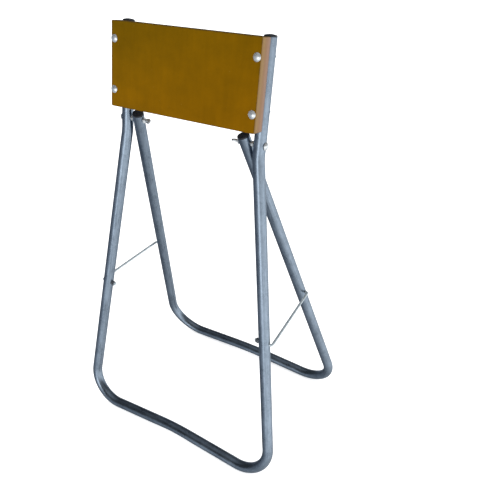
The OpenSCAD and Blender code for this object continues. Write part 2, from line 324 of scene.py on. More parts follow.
def drill(obj, cutters, sharp=32):
    """Cuts the cylinders out of an object, which keeps its name and place."""
    for c in cutters:
        mod = obj.modifiers.new("hole", "BOOLEAN")
        mod.object = c
        mod.solver = "EXACT"
        mod.operation = "DIFFERENCE"
    bpy.context.view_layer.update()
    depsgraph = bpy.context.evaluated_depsgraph_get()
    mesh = bpy.data.meshes.new_from_object(obj.evaluated_get(depsgraph))
    obj.modifiers.clear()
    old = obj.data
    obj.data = mesh
    mesh.name = obj.name
    bpy.data.meshes.remove(old)
    for c in cutters:
        bpy.data.objects.remove(c)
    smooth(mesh, sharp)


def outward(obj):
    """Makes every face of a closed mesh point outwards."""
    work = bmesh.new()
    work.from_mesh(obj.data)
    bmesh.ops.recalc_face_normals(work, faces=work.faces)
    work.to_mesh(obj.data)
    work.free()


def place(obj, node, material, sharp=32):
    """Gives a finished piece its material and says which CAD node it stands for."""
    outward(obj)
    smooth(obj.data, sharp)
    obj.data.materials.clear()
    obj.data.materials.append(material)
    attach(obj, body_of[node])
    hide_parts(node)


def laid(plane, x, up, direction, out):
    """The place of a turned form whose axis points along a direction of a frame's plane."""
    turn = Vector(direction).to_track_quat("Z", "Y").to_matrix().to_4x4()
    return plane @ Matrix.Translation((x, out, up)) @ turn


# ---------------------------------------------------------------- materials
# The film on the board's faces, and the tubes' zinc where it is dull and where it is bright
FILM_DARK, FILM_MID, FILM_LIGHT = (0.124, 0.059, 0.0003), (0.158, 0.073, 0.0003), (0.196, 0.088, 0.0004)
TUBE_DULL, TUBE_BRIGHT = (0.175, 0.214, 0.262), (0.310, 0.376, 0.452)


class Graph:
    """Short calls for building a node tree."""

    def __init__(self, tree):
        self.tree = tree

    def node(self, kind, **settings):
        made = self.tree.nodes.new("ShaderNode" + kind)
        for key, value in settings.items():
            setattr(made, key, value)
        return made

    def link(self, out, into):
        self.tree.links.new(out, into)

    def put(self, value, socket):
        if isinstance(value, bpy.types.NodeSocket):
            self.link(value, socket)
        else:
            socket.default_value = value

    def ramp(self, value, stops):
        made = self.node("ValToRGB")
        elements = made.color_ramp.elements
        elements[0].position, elements[0].color = stops[0][0], colour(stops[0][1])
        elements[1].position, elements[1].color = stops[-1][0], colour(stops[-1][1])
        for at, shade in stops[1:-1]:
            elements.new(at).color = colour(shade)
        self.link(value, made.inputs["Fac"])
        return made.outputs["Color"]

    def span(self, value, low, high, to_low=0.0, to_high=1.0):
        made = self.node("MapRange")
        self.put(value, made.inputs["Value"])
        made.inputs["From Min"].default_value = low
        made.inputs["From Max"].default_value = high
        made.inputs["To Min"].default_value = to_low
        made.inputs["To Max"].default_value = to_high
        return made.outputs["Result"]

    def mix(self, factor, a, b, blend="MIX"):
        made = self.node("Mix", data_type="RGBA", blend_type=blend)
        self.put(factor, made.inputs["Factor"])
        self.put(a if isinstance(a, bpy.types.NodeSocket) else colour(a), made.inputs["A"])
        self.put(b if isinstance(b, bpy.types.NodeSocket) else colour(b), made.inputs["B"])
        return made.outputs["Result"]

    def dot(self, vector, direction):
        made = self.node("VectorMath", operation="DOT_PRODUCT")
        self.link(vector, made.inputs[0])
        made.inputs[1].default_value = direction
        return made.outputs["Value"]


class Nodes(Graph):
    """Short calls for building one node material."""

    def __init__(self, name):
        self.material = bpy.data.materials.new(name)
        self.material.use_nodes = True
        super().__init__(self.material.node_tree)
        self.shader = self.tree.nodes["Principled BSDF"]

    def coords(self, kind="Object", scale=(1, 1, 1), plane=None):
        """Texture coordinates, scaled. With a plane, they run along that plane's own axes."""
        vector = self.node("TexCoord").outputs[kind]
        if plane:
            back = plane.inverted()
            lay = self.node("Mapping")
            lay.inputs["Location"].default_value = back.translation
            lay.inputs["Rotation"].default_value = back.to_euler()
            self.link(vector, lay.inputs["Vector"])
            vector = lay.outputs["Vector"]
        mapping = self.node("Mapping")
        mapping.inputs["Scale"].default_value = scale
        self.link(vector, mapping.inputs["Vector"])
        return mapping.outputs["Vector"]

    def noise(self, vector, scale, detail=3.0, rough=0.5):
        made = self.node("TexNoise")
        made.inputs["Scale"].default_value = scale
        made.inputs["Detail"].default_value = detail
        made.inputs["Roughness"].default_value = rough
        self.link(vector, made.inputs["Vector"])
        return made.outputs["Fac"]

    def cells(self, vector, scale):
        made = self.node("TexVoronoi")
        made.inputs["Scale"].default_value = scale
        self.link(vector, made.inputs["Vector"])
        return made.outputs["Color"]

    def math(self, operation, a, b=0.0, clamp=False):
        made = self.node("Math", operation=operation, use_clamp=clamp)
        self.put(a, made.inputs[0])
        self.put(b, made.inputs[1])
        return made.outputs[0]

    def axes(self, vector):
        made = self.node("SeparateXYZ")
        self.link(vector, made.inputs[0])
        return made.outputs

    def facing(self, direction):
        """1 where the surface looks along a direction or against it, else 0."""
        square = self.dot(self.node("NewGeometry").outputs["True Normal"], direction)
        return self.span(self.math("ABSOLUTE", square), 0.55, 0.75)

    def bump(self, height, depth, below=None):
        made = self.node("Bump")
        made.inputs["Strength"].default_value = 1.0
        made.inputs["Distance"].default_value = depth
        self.link(height, made.inputs["Height"])
        if below is not None:
            self.link(below, made.inputs["Normal"])
        return made.outputs["Normal"]

    def finish(self, base, rough, normal, **constants):
        self.link(base, self.shader.inputs["Base Color"])
        self.link(rough, self.shader.inputs["Roughness"])
        self.link(normal, self.shader.inputs["Normal"])
        for key, value in constants.items():
            self.shader.inputs[key.replace("_", " ")].default_value = value
        return self.material


def colour(value):
    if isinstance(value, (int, float)):
        return (value, value, value, 1)
    return (*value, 1) if len(value) == 3 else tuple(value)


def galvanised(name, dull, bright):
    """Dull zinc-coated steel tube: a spangle, streaks along the tube and rubbed places near the floor."""
    n = Nodes(name)
    place_co = n.coords("Object")
    streak = n.noise(n.coords("UV", (6, 130, 1)), 3.0, 4.0, 0.6)
    blotch = n.noise(n.coords("UV", (22, 40, 1)), 1.0, 5.0, 0.65)
    spangle = n.noise(n.cells(n.coords("UV", (1, 1, 1)), 170.0), 2.0, 0.0)
    fine = n.noise(place_co, 900.0, 3.0, 0.6)
    tone = n.math("ADD", n.math("MULTIPLY", streak, 0.45), n.math("MULTIPLY", blotch, 0.55))
    tone = n.math("ADD", n.math("MULTIPLY", spangle, 0.16), tone)
    base = n.ramp(tone, [(0.42, dull), (0.68, bright)])
    height = n.axes(place_co)[2]
    low = n.span(height, 0.0, 0.055, 1.0, 0.0)
    scuff = n.math("MULTIPLY", low, n.span(n.noise(n.coords("UV", (45, 160, 1)), 2.0, 4.0), 0.50, 0.66))
    base = n.mix(n.math("MULTIPLY", scuff, 0.40), base, (0.09, 0.098, 0.106))
    rough = n.span(n.math("ADD", blotch, n.math("MULTIPLY", fine, 0.3)), 0.40, 0.90, 0.20, 0.42)
    rough = n.math("ADD", rough, n.math("MULTIPLY", scuff, 0.12), clamp=True)
    drawn = n.noise(n.coords("UV", (3, 900, 1)), 2.0, 2.0)
    normal = n.bump(fine, 0.00004)
    normal = n.bump(drawn, 0.00003, normal)
    normal = n.bump(blotch, 0.00012, normal)
    return n.finish(base, rough, normal, Metallic=1.0, IOR=1.5)


def bright_zinc(name, dull, bright, metallic=1.0, scale=1.0):
    """Bright zinc plating with a faint cloud and fine scratches."""
    n = Nodes(name)
    place_co = n.coords("Object")
    cloud = n.noise(place_co, 160.0 * scale, 4.0, 0.6)
    fine = n.noise(place_co, 1500.0, 2.0, 0.6)
    scratch = n.noise(n.coords("Object", (300, 2600, 700)), 1.0, 2.0)
    base = n.ramp(cloud, [(0.32, dull), (0.70, bright)])
    both = n.math("ADD", n.math("MULTIPLY", cloud, 0.6), n.math("MULTIPLY", scratch, 0.4))
    rough = n.span(both, 0.3, 0.7, 0.18, 0.36)
    normal = n.bump(fine, 0.000012)
    normal = n.bump(scratch, 0.000010, normal)
    return n.finish(base, rough, normal, Metallic=metallic, IOR=1.5)


def moulded_black(name):
    """Matt black moulded plastic with a faint cloud and a fine grain."""
    n = Nodes(name)
    place_co = n.coords("Object")
    cloud = n.noise(place_co, 140.0, 4.0, 0.6)
    grain = n.noise(place_co, 2600.0, 2.0, 0.7)
    base = n.ramp(cloud, [(0.3, (0.008, 0.010, 0.014)), (0.75, (0.022, 0.026, 0.034))])
    rough = n.span(cloud, 0.3, 0.7, 0.38, 0.55)
    normal = n.bump(grain, 0.00003)
    return n.finish(base, rough, normal, IOR=1.48)


def filmed_ply(name, plane, half_w, low, high, front):
    """Film-faced plywood: a brown film on both faces, and bare plies round the edges."""
    n = Nodes(name)
    place_co = n.coords("Object", plane=plane)
    x, y, z = n.axes(place_co)
    # The film: broad clouds, a soft upright grain that shows through, and small pale specks
    cloud = n.noise(place_co, 9.0, 4.0, 0.55)
    grain = n.noise(n.coords("Object", (150, 8, 14), plane), 1.0, 5.0, 0.6)
    patch = n.noise(place_co, 34.0, 4.0, 0.6)
    tone = n.math("ADD", n.math("MULTIPLY", cloud, 0.42), n.math("MULTIPLY", grain, 0.20))
    tone = n.math("ADD", tone, n.math("MULTIPLY", patch, 0.38))
    film = n.ramp(tone, [(0.30, FILM_DARK), (0.52, FILM_MID), (0.74, FILM_LIGHT)])
    # Painted light and shade: the film is made brighter and warmer low on the right, and darker and greener high
    # on the left
    painted_light_slope = n.math("ADD", n.span(z, low, high, 0.0, 0.65), n.span(x, half_w, -half_w, 0.0, 0.35))
    film = n.mix(1.0, film, n.mix(painted_light_slope, (1.13, 1.06, 1.0), (0.76, 0.86, 1.0)), "MULTIPLY")
    speck = n.span(n.noise(place_co, 210.0, 1.0), 0.775, 0.80)
    film = n.mix(n.math("MULTIPLY", speck, 0.30), film, (0.36, 0.24, 0.05))
    # The film is worn thin along its arrises
    from_edge, to_edge = 0.0028, 0.0004
    edge_x = n.span(n.math("ABSOLUTE", x), half_w - from_edge, half_w - to_edge)
    edge_low = n.span(z, low + from_edge, low + to_edge)
    edge_high = n.span(z, high - from_edge, high - to_edge)
    edge = n.math("MAXIMUM", edge_x, n.math("MAXIMUM", edge_low, edge_high))
    worn = n.math("MULTIPLY", edge, n.span(n.noise(place_co, 120.0, 4.0, 0.7), 0.36, 0.60))
    film = n.mix(n.math("MULTIPLY", worn, 0.75), film, (0.045, 0.030, 0.006))
    # The plies: bands through the thickness, with fibre streaks along the edge
    depth = n.span(y, front, front + board_t)
    layer = n.math("ADD", n.math("MULTIPLY", depth, ply_count), n.math("MULTIPLY", cloud, 0.5))
    band = n.math("PINGPONG", layer, 1.0)
    fibre = n.noise(n.coords("Object", (60, 1500, 40), plane), 1.0, 4.0, 0.6)
    plies = n.ramp(depth, [
        (0.0, (0.215, 0.132, 0.046)), (0.22, (0.310, 0.205, 0.098)), (0.5, (0.290, 0.180, 0.105)),
        (0.8, (0.330, 0.215, 0.160)), (1.0, (0.250, 0.195, 0.185)),
    ])
    plies = n.mix(n.math("MULTIPLY", band, 0.30), plies, (0.20, 0.12, 0.070))
    plies = n.mix(n.span(fibre, 0.35, 0.75, 0.0, 0.30), plies, (0.13, 0.08, 0.05))
    # Faces are where the surface is square to the board, and the long edges are sealed dark
    is_face = n.facing(plane.to_3x3() @ Vector((0, 1, 0)))
    is_long = n.facing(plane.to_3x3() @ Vector((0, 0, 1)))
    sealed = n.mix(n.span(fibre, 0.35, 0.75, 0.0, 0.6), (0.055, 0.036, 0.012), (0.10, 0.062, 0.018))
    base = n.mix(is_long, plies, sealed)
    base = n.mix(is_face, base, film)
    film_rough = n.span(tone, 0.3, 0.7, 0.42, 0.56)
    is_edge = n.math("SUBTRACT", 1.0, is_face)
    rough = n.math("ADD", n.math("MULTIPLY", is_face, film_rough), n.math("MULTIPLY", is_edge, 0.78))
    mesh_print = n.noise(place_co, 1100.0, 1.0)
    normal = n.bump(mesh_print, 0.00002)
    normal = n.bump(grain, 0.00010, normal)
    normal = n.bump(n.math("MULTIPLY", fibre, is_edge), 0.00025, normal)
    return n.finish(base, rough, normal, IOR=1.45, Specular_IOR_Level=0.015)


# ---------------------------------------------------------------- the two bent frames


def corner_drop(r, splay, bow):
    """Depth of the sharp corner of leg and floor bar below the lowest point of the rounded one."""
    half = math.radians(90 - splay - bow) / 2
    return r / math.sin(half) * math.sin(math.radians(135 + (splay - bow) / 2)) - r


def whole_path(half, middle):
    mirrored = [(-x, z) for x, z in half]
    points = mirrored + [middle] + list(reversed(half))
    return [(x, 0, z) for x, z in points]


front_x = box_centre("front_plug_right").x


def tube_end_up(plane, node, tilt):
    """Height along a frame's plane of the tube end below a plug's dome."""
    obj = frame["nodes"][node]
    turned_plane = plane @ Matrix.Rotation(math.radians(-tilt), 4, "Y")
    tops = [(turned_plane.inverted() @ v.co).z for v in obj.data.vertices]
    return max(tops) - rim_t - dome_h


front_end = tube_end_up(front_plane, "front_plug_right", 0)
bend_up = pivot_up - bend_below_pivot
front_drop = corner_drop(front_corner_r, front_splay, front_bow)
front_foot_x = front_x + (bend_up + front_drop) * math.tan(math.radians(front_splay))
front_half = [(front_x, front_end), (front_x, bend_up), (front_foot_x, -front_drop)]
front_middle = (0, front_foot_x * math.tan(math.radians(front_bow)) - front_drop)
front_radii = [0, splay_bend_r, front_corner_r, bow_bend_r, front_corner_r, splay_bend_r, 0]

rear_tube_x = tube_r / math.cos(math.radians(rear_splay))
rear_drop = corner_drop(rear_corner_r, rear_splay, rear_bow)
rear_x = front_x - tube_r - leg_gap - rear_tube_x
screw_top = screw_r / math.cos(math.radians(rear_splay)) + bore_r * math.tan(math.radians(rear_splay))
rear_stub = screw_top + plug_screw_gap + skirt_l
rear_top = (
    rear_x - rear_stub * math.sin(math.radians(rear_splay)),
    rear_pivot_up + rear_stub * math.cos(math.radians(rear_splay)),
)
rear_foot_x = rear_x + (rear_pivot_up + rear_drop) * math.tan(math.radians(rear_splay))
rear_half = [rear_top, (rear_foot_x, -rear_drop)]
rear_middle = (0, rear_foot_x * math.tan(math.radians(rear_bow)) - rear_drop)
rear_radii = [0, rear_corner_r, bow_bend_r, rear_corner_r, 0]


def flat_bends(p):
    """How much the inside of a bend is flattened: a little at the corners, more in the middle of the bar."""
    corner_share, middle_share, middle_reach, bar_top = 0.035, 0.13, 0.035, 0.2
    middle = math.exp(-((p.x / middle_reach) ** 2))
    return corner_share + middle_share * middle * (1 if p.z < bar_top else 0)


stay_hole = in_plane(front_plane, stay_pin)
hook_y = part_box("stay_right")[1].y - stay_r
hook_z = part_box("stay_right")[1].z - stay_r
hook_hole = in_plane(rear_plane, (0, hook_y, hook_z))
hook_x = rear_x + (rear_pivot_up - hook_hole.z) * math.tan(math.radians(rear_splay))


def bolt_rows():
    """Heights of the two rows of board bolts along the front frame."""
    obj = frame["nodes"]["board_nuts"]
    ups = [in_plane(front_plane, v.co).z for v in obj.data.vertices]
    low, high = min(ups), max(ups)
    corner = nut_flat / math.sqrt(3)
    return low + corner, high - corner


def board_span():
    """Half the board's length, its lower and upper edge, and its front face, in the front frame's plane."""
    obj = frame["nodes"]["board"]
    local = [in_plane(front_plane, v.co) for v in obj.data.vertices]
    return (
        max(p.x for p in local),
        min(p.z for p in local),
        max(p.z for p in local),
        min(p.y for p in local),
    )


def frame_tube(name, node, plane, half, middle, radii, holes, material):
    step, sides = 0.012, 56
    path = rounded_path(whole_path(half, middle), radii, step)
    solid = Solid()
    solid.add(*tube_form(path, sides, flat_bends), plane)
    obj = solid.build(name)
    outward(obj)
    drill(obj, [cutter(plane, *hole) for hole in holes])
    place(obj, node, material)


board_half_w, board_bottom, board_top, board_front = board_span()
rows = bolt_rows()
across_x, across_y = Vector((1, 0, 0)), Vector((0, 1, 0))
front_holes, rear_holes = [], []
for sign in SIDES.values():
    for up in rows:
        spot = (sign * front_x, 0, up)
        front_holes.append((spot, across_y, board_bolt_r + easy_room, tube_drill_l))
    spot = (sign * front_x, 0, pivot_up)
    front_holes.append((spot, across_x, sleeve_r + close_room, tube_drill_l))
    spot = (sign * stay_pin.x, 0, stay_hole.z)
    front_holes.append((spot, across_x, stay_r + close_room, tube_drill_l))
    spot = (sign * rear_x, 0, rear_pivot_up)
    rear_holes.append((spot, across_x, screw_r + close_room, tube_drill_l))
    spot = (sign * (hook_x + hook_drill_out), 0, hook_hole.z)
    rear_holes.append((spot, across_x, stay_r + hook_room, hook_drill_l))

tube_material = galvanised("galvanised_tube", TUBE_DULL, TUBE_BRIGHT)
zinc_material = bright_zinc("bright_zinc", (0.62, 0.65, 0.67), (0.86, 0.88, 0.88), 0.80)
stay_material = bright_zinc("stay_zinc", (0.56, 0.64, 0.68), (0.80, 0.87, 0.90), 0.78, 0.6)
nut_material = bright_zinc("nut_zinc", (0.20, 0.22, 0.25), (0.40, 0.42, 0.45), 0.9)
plastic_material = moulded_black("black_plastic")
board_material = filmed_ply("film_faced_ply", front_plane, board_half_w, board_bottom, board_top, board_front)

frame_tube(
    "front_tube", "front_frame", front_plane, front_half, front_middle, front_radii,
    front_holes, tube_material,
)
frame_tube(
    "rear_tube", "rear_frame", rear_plane, rear_half, rear_middle, rear_radii,
    rear_holes, tube_material,
)

# ---------------------------------------------------------------- board


def rounded_outline(half_w, low, high, r, steps=6):
    corners = [
        (half_w - r, high - r, 0), (-half_w + r, high - r, 90),
        (-half_w + r, low + r, 180), (half_w - r, low + r, 270),
    ]
    points = []
    for cx, cz, start in corners:
        for i in range(steps + 1):
            a = math.radians(start + 90 * i / steps)
            points.append((cx + r * math.cos(a), cz + r * math.sin(a)))
    return points


def board_piece():
    """The board, with softened arrises and four bolt holes."""
    steps = 5
    depths = []
    for i in range(steps + 1):
        a = math.pi / 2 * i / steps
        depths.append((board_arris * (1 - math.sin(a)), board_arris * (1 - math.cos(a))))
    rings = depths + [(inset, board_t - depth) for inset, depth in reversed(depths)]
    verts, cols = [], None
    for inset, depth in rings:
        outline = rounded_outline(
            board_half_w - inset, board_bottom + inset, board_top - inset, board_corner_r - inset
        )
        cols = len(outline)
        verts += [(x, board_front + depth, z) for x, z in outline]
    us = [depth for _, depth in rings]
    faces, uvs = grid_faces(len(rings), cols, us, [0.02 * k for k in range(cols + 1)])
    for start, forward in ((0, True), ((len(rings) - 1) * cols, False)):
        ring = list(range(start, start + cols))
        faces.append(ring if forward else ring[::-1])
        uvs.append([(0, 0)] * cols)
    solid = Solid()
    solid.add(verts, faces, uvs, front_plane)
    obj = solid.build("board_panel")
    outward(obj)
    holes = []
    for sign in SIDES.values():
        for up in rows:
            spot = (sign * front_x, board_front + board_t / 2, up)
            holes.append(cutter(front_plane, spot, across_y, board_bolt_r + board_room, board_drill_l))
    sharp = 25
    drill(obj, holes, sharp)
    place(obj, "board", board_material, sharp)


board_piece()

# ---------------------------------------------------------------- fasteners


def threaded_rows(r, start, end):
    rows_per_turn = 6
    count = max(2, round((end - start) / thread_pitch * rows_per_turn))
    return [(r, start + (end - start) * i / count, True) for i in range(count + 1)]


def shank_end(r, length, thread_l):
    """The last rows of a shank: where it is still plain, its thread, and a short tapered tip."""
    start = length - thread_l
    profile = [(r, start - thread_run)]
    profile += threaded_rows(r, start, length - thread_run)
    profile += [(r * 0.8, length), (axis_r, length)]
    return profile


def head_rows(r, h):
    """The rows of a domed head below 0, from its middle to its rim."""
    return [(axis_r, -h)] + [(x, -z) for x, z in reversed(dome_profile(r, h, head_edge))]


def bolt_form(length):
    """A domed board bolt along +Z, with the underside of its head at 0 and its head below."""
    profile = head_rows(board_head_r, board_head_h)
    profile += [(board_neck_r, 0.0), (board_neck_r, board_neck_l), (board_bolt_r, board_neck_l + thread_run)]
    profile += shank_end(board_bolt_r, length, board_thread_l)
    return turned(profile, 48, thread_pitch, thread_depth)


def hex_form(flat, hole_r, h, sides=72):
    """A hexagon nut along +Z, with its corners chamfered and its hole countersunk."""
    sink, soft = 0.0005, 0.0001
    rim = flat / 2 * 1.04
    chamfer = 0.58

    def side_r(k):
        a = math.degrees(2 * math.pi * k / sides) % 60 - 30
        return flat / 2 / math.cos(math.radians(a))

    outer = [side_r(k) for k in range(sides)]
    face = [min(r, rim) * 0.985 for r in outer]
    drop = [max(0.0, r - rim) * chamfer + soft for r in outer]
    rings = [
        [(hole_r, sink)] * sides,
        [(hole_r + sink, 0.0)] * sides,
        [(r, 0.0) for r in face],
        list(zip(outer, drop)),
        [(r, h - d) for r, d in zip(outer, drop)],
        [(r, h) for r in face],
        [(hole_r + sink, h)] * sides,
        [(hole_r, h - sink)] * sides,
    ]
    verts = []
    for ring in rings:
        for k, (r, z) in enumerate(ring):
            a = 2 * math.pi * k / sides
            verts.append((r * math.cos(a), r * math.sin(a), z))
    us = [0.001 * i for i in range(len(rings))]
    around = [0.0005 * k for k in range(sides + 1)]
    faces, uvs = grid_faces(len(rings), sides, us + [us[-1]], around, True)
    return verts, faces, uvs


def washer_form(r, hole_r, t):
    soft = 0.0002
    outline = [
        (hole_r, soft), (hole_r + soft, 0), (r - soft, 0), (r, soft),
        (r, t - soft), (r - soft, t), (hole_r + soft, t), (hole_r, t - soft),
    ]
    return ring_form(outline)


def gather(name, node, forms, material, sharp=32):
    """One piece out of several turned forms, each with its own place."""
    solid = Solid()
    for form, matrix in forms:
        solid.add(*form, matrix)
    obj = solid.build(name)
    place(obj, node, material, sharp)
    return obj


def node_reach(node, plane, axis):
    """Lowest and highest place of a node along one axis of a frame's plane."""
    spots = [in_plane(plane, v.co)[axis] for v in frame["nodes"][node].data.vertices]
    return min(spots), max(spots)


bolt_end = node_reach("board_bolts", front_plane, 1)[1]
washer_start, washer_end = node_reach("board_washers", front_plane, 1)
nut_start, nut_end = node_reach("board_nuts", front_plane, 1)
bolt = bolt_form(bolt_end - board_front)
washer = washer_form(washer_r, board_bolt_r + loose_room, washer_end - washer_start)
nut = hex_form(nut_flat, board_bolt_r, nut_end - nut_start)
bolts, washers, nuts = [], [], []
for sign in SIDES.values():
    for up in rows:
        bolts.append((bolt, laid(front_plane, sign * front_x, up, across_y, board_front)))
        washers.append((washer, laid(front_plane, sign * front_x, up, across_y, washer_start)))
        nuts.append((nut, laid(front_plane, sign * front_x, up, across_y, nut_start)))
gather("board_carriage_bolts", "board_bolts", bolts, zinc_material)
gather("board_flat_washers", "board_washers", washers, zinc_material)
gather("board_hex_nuts", "board_nuts", nuts, zinc_material)


def x_reach(node):
    """Nearest and furthest distance of a node from the middle of the stand, along X."""
    low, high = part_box(node)
    near, far = sorted((abs(low.x), abs(high.x)))
    return near, far


def along_x(sign, start, centre):
    """The place of a turned form whose axis points towards the middle of the stand."""
    turn = Vector((-sign, 0, 0)).to_track_quat("Z", "Y").to_matrix().to_4x4()
    return Matrix.Translation((sign * start, centre.y, centre.z)) @ turn


def ring_piece(name, node, sign, r, hole_r, centre, material):
    """A washer or spacer about a line across the stand, as thick as its node."""
    near, far = x_reach(node)
    gather(name, node, [(washer_form(r, hole_r, far - near), along_x(sign, far, centre))], material)


def grip_direction(node):
    """The way a thumb screw's flat grip reaches from the screw's axis, from the node's furthest places."""
    places = [v.co - pivot for v in frame["nodes"][node].data.vertices]
    spots = [Vector((0, place.y, place.z)) for place in places]
    furthest = max(spots, key=lambda spot: spot.length)
    edge = [spot for spot in spots if spot.length > furthest.length * 0.97 and spot.dot(furthest) > 0]
    return sum(edge, Vector()).normalized()


def grip_form(start, end, r, thick, count=30, sides=32):
    """The flat round grip of a thumb screw along +Z, with a waist that runs into the screw."""
    verts, us = [], []
    waist, blend_l = screw_r * 1.02, 0.0012
    for i in range(count):
        # Rows lie closer together towards the round end
        z = start + (end - start) * (1 - (1 - i / (count - 1)) ** 1.7)
        us.append(z)
        # How far this row is above the middle of the round, in radii
        off = (z - (end - r)) / r
        half = r * math.sqrt(max(0.0, 1 - off * off)) if off > -1 else 0.0
        if off < 0:
            half = max(half, waist)
        if off < -0.6:
            half = max(half, waist + blend_l * max(0.0, off + 1.8))
        # The screw's round section turns into the grip's flat one, which thins out at its end
        change = min(1.0, max(0.0, (z - start) / (0.35 * (end - start))))
        flat = screw_r + (thick / 2 - screw_r) * change
        flat *= min(1.0, math.sqrt(max(0.0, (end - z) / (0.16 * r))))
        half, flat = max(half, axis_r), max(flat, axis_r)
        squareness = 1.0 - 0.35 * change
        for k in range(sides):
            a = 2 * math.pi * k / sides
            x, y = math.cos(a), math.sin(a)
            verts.append((
                math.copysign(abs(x) ** squareness, x) * half,
                math.copysign(abs(y) ** squareness, y) * flat,
                z,
            ))
    faces, uvs = grid_faces(count, sides, us, [0.001 * k for k in range(sides + 1)])
    return cap_ends((verts, faces, uvs), sides)


def sleeve_form(length, bore):
    """A sleeve nut along +Z: a domed head below 0 and a bored sleeve above it."""
    soft, floor_up = 0.0004, 0.0003
    profile = head_rows(pivot_head_r, pivot_head_h)
    profile += [(sleeve_r + soft, 0.0), (sleeve_r, soft), (sleeve_r, length - soft)]
    profile += [(sleeve_r - soft, length), (bore + soft, length), (bore, length - soft)]
    profile += [(bore, floor_up), (axis_r, floor_up)]
    return turned(profile, 56)


def thumb_shank_form(length):
    """A thumb screw's collar and shank along +Z, from the collar's face at 0, with the grip at negative Z."""
    soft = 0.0003
    profile = [(axis_r, -thumb_out), (screw_r, -thumb_out), (screw_r, -thumb_collar_t - soft)]
    profile += [(thumb_collar_r - soft, -thumb_collar_t), (thumb_collar_r, -thumb_collar_t + soft)]
    profile += [(thumb_collar_r, -soft), (thumb_collar_r - soft, 0.0), (screw_r, 0.0)]
    profile += shank_end(screw_r, length, thumb_thread_l)
    return turned(profile, 48, thread_pitch, thread_depth)


for side, sign in SIDES.items():
    node = "sleeve_nut_" + side
    near, far = x_reach(node)
    sleeve = sleeve_form(far - pivot_head_h - near, screw_r + close_room)
    spot = along_x(sign, far - pivot_head_h, pivot)
    gather("pivot_sleeve_nut_" + side, node, [(sleeve, spot)], zinc_material)
    for name, node in (("pivot_bush_", "pivot_spacer_"), ("pivot_flat_washer_", "pivot_washer_")):
        hole_r = screw_r + easy_room
        ring_piece(name + side, node + side, sign, washer_r, hole_r, pivot, zinc_material)


def plug_form():
    """An end plug along +Z: a skirt below 0, and a rim with a domed top above it."""
    rim = tube_r - rim_inset
    outer = bore_r - skirt_room
    inner = outer - skirt_wall
    profile = [(axis_r, -0.0001), (inner, -0.0001), (inner, -skirt_l + 0.0002), (inner + 0.0002, -skirt_l)]
    profile += [(outer - 0.0004, -skirt_l), (outer, -skirt_l + 0.0006), (outer, -0.00005)]
    profile += [(rim - 0.0003, 0.0), (rim, 0.0003), (rim, rim_t - 0.0004), (rim - 0.00012, rim_t - 0.0001)]
    dome_r, steps = rim - 0.0004, 12
    ball = (dome_r ** 2 + dome_h ** 2) / (2 * dome_h)
    opening = math.asin(dome_r / ball)
    for i in range(steps):
        a = opening * (1 - i / steps)
        profile.append((ball * math.sin(a), rim_t + dome_h - ball + ball * math.cos(a)))
    profile.append((axis_r, rim_t + dome_h))
    return turned(profile, 64)


for side, sign in SIDES.items():
    spot = front_plane @ Matrix.Translation((sign * front_x, 0, front_end))
    gather("front_end_plug_" + side, "front_plug_" + side, [(plug_form(), spot)], plastic_material)
    tilt = Matrix.Rotation(math.radians(-sign * rear_splay), 4, "Y")
    spot = rear_plane @ Matrix.Translation((sign * rear_top[0], 0, rear_top[1])) @ tilt
    gather("rear_end_plug_" + side, "rear_plug_" + side, [(plug_form(), spot)], plastic_material)

# ---------------------------------------------------------------- thumb screws and stays


def standing(spot, first, axis):
    """The place of a form whose Z axis points along axis and whose X axis points along first."""
    return spot @ Matrix((first, axis.cross(first), axis)).transposed().to_4x4()


for side, sign in SIDES.items():
    node = "thumb_screw_" + side
    near, far = x_reach(node)
    face = near + thumb_out + thumb_r
    first = grip_direction(node)
    # The shank runs outwards from the collar's face, and the grip inwards
    spot = Matrix.Translation((sign * face, pivot.y, pivot.z))
    inward = Vector((-sign, 0, 0))
    grip = grip_form(thumb_collar_t, thumb_out + thumb_r, thumb_r, thumb_t)
    shank = thumb_shank_form(far - face)
    forms = [(shank, standing(spot, first, -inward)), (grip, standing(spot, first, inward))]
    gather("thumb_screw_body_" + side, node, forms, zinc_material, 40)

front_tube_x = tube_r / math.cos(math.radians(front_splay))
stay_up = Vector((0, hook_y - stay_pin.y, hook_z - stay_pin.z))
stay_turn = Matrix.Rotation(-math.atan2(stay_up.y, stay_up.z), 4, "X")
stay_plane = Matrix.Translation((0, stay_pin.y, stay_pin.z)) @ stay_turn
elbow_x = stay_pin.x + front_tube_x + stay_bend_r + 2 * side_gap
tip_x = hook_x + rear_tube_x + stay_r * math.tan(math.radians(rear_splay)) + side_gap
hook_elbow_x = tip_x + stay_bend_r + 2 * side_gap


def stay_form(sign, near):
    """A stay in its own XZ plane: threaded end, leg, rod and hook."""
    step, sides = 0.006, 32
    points = [(near, 0), (elbow_x, 0), (hook_elbow_x, stay_up.length), (tip_x, stay_up.length)]
    points = [Vector((sign * x, 0, z)) for x, z in points]
    path = rounded_path(points, [0, stay_bend_r, stay_bend_r, 0], step)
    # The threaded end has closer rows than the rest, six to a turn
    thread_stop = points[0].lerp(points[1], stay_thread_l / (points[1] - points[0]).length)
    close_rows = rounded_path([points[0], thread_stop], [0, 0], thread_pitch / 6)
    path = close_rows + [p for p in path if abs(p.x) > abs(thread_stop.x) + 0.001 or p.z > 0.001]
    form = sweep(path, stay_r, sides, None, thread_pitch, stay_thread_depth, stay_thread_l)
    return cap_ends(form, sides)


